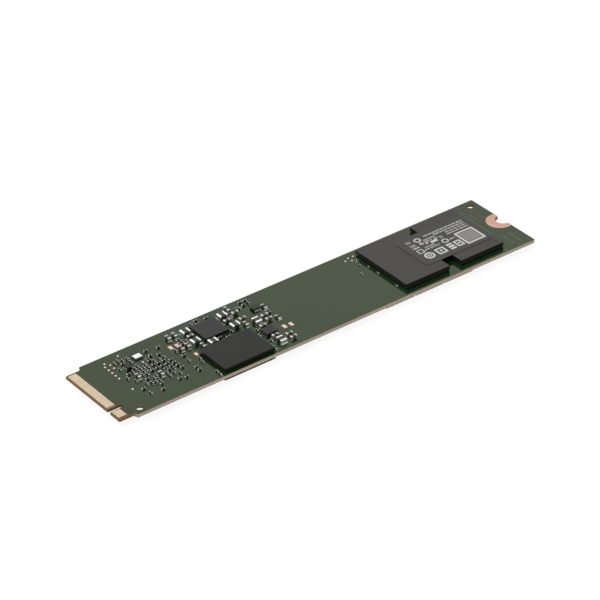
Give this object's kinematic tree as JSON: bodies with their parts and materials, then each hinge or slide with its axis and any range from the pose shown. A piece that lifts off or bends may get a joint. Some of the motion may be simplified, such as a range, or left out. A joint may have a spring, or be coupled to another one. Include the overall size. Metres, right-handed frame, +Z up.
{
  "type": "nvme ssd",
  "caption": "Long narrow storage card with a notched card-edge connector, memory packages on both faces and a half-round screw notch.",
  "frame": {"origin": "middle of the board's outline, on the plane that the underside packages rest on", "axes": "+X from the connector tip to the mounting end, +Y across the card to the edge beside the far tooling hole, +Z up from the underside to the face with the label"},
  "size_m": [0.11, 0.022, 0.0034],
  "materials": {
    "board": "satin green solder mask over glass fibre",
    "contact_gold": "gold-plated, satin",
    "bare_copper": "bare plated copper, satin",
    "package": "fine matt moulding",
    "package_dark": "fine matt moulding",
    "solder": "bright solder and tinned metal",
    "label_film": "matt printed film",
    "inductor": "pressed iron powder",
    "end_cap": "tinned, bright",
    "ceramic": "fired ceramic",
    "resistor": "glazed black",
    "metal_lid": "bright plated",
    "moulding": "tan moulded resin"
  },
  "bodies": {
    "root": {"circuit_board": "board", "contacts_top": "contact_gold", "contacts_bottom": "contact_gold", "mounting_land_top": "bare_copper", "mounting_land_bottom": "bare_copper", "test_lands": "bare_copper", "bare_lands": "bare_copper", "flash_package_outer": "package", "flash_package_inner": "package", "memory_package_top": "package_dark", "memory_package_bottom": "package_dark", "controller_package": "package_dark", "flash_solder_balls": "solder", "memory_solder_balls": "solder", "controller_solder_balls": "solder", "label": "label_film", "power_inductor_bodies": "inductor", "power_inductor_caps": "end_cap", "large_capacitor_bodies": "ceramic", "large_capacitor_caps": "end_cap", "chip_resistor_bodies": "resistor", "chip_resistor_caps": "end_cap", "power_chip_bodies": "ceramic", "power_chip_caps": "end_cap", "field_chip_bodies": "ceramic", "field_chip_caps": "end_cap", "flash_chip_bodies": "ceramic", "flash_chip_caps": "end_cap", "underside_chip_bodies": "ceramic", "underside_chip_caps": "end_cap", "power_manager": "package_dark", "power_manager_lands": "solder", "load_switch": "package_dark", "load_switch_leads": "solder", "sensor": "package_dark", "sensor_leads": "solder", "regulator": "package_dark", "regulator_leads": "solder", "crystal_base": "ceramic", "crystal_lid": "metal_lid", "hold_up_capacitor_bodies": "moulding", "hold_up_capacitor_leads": "solder"}
  },
  "joints": []
}
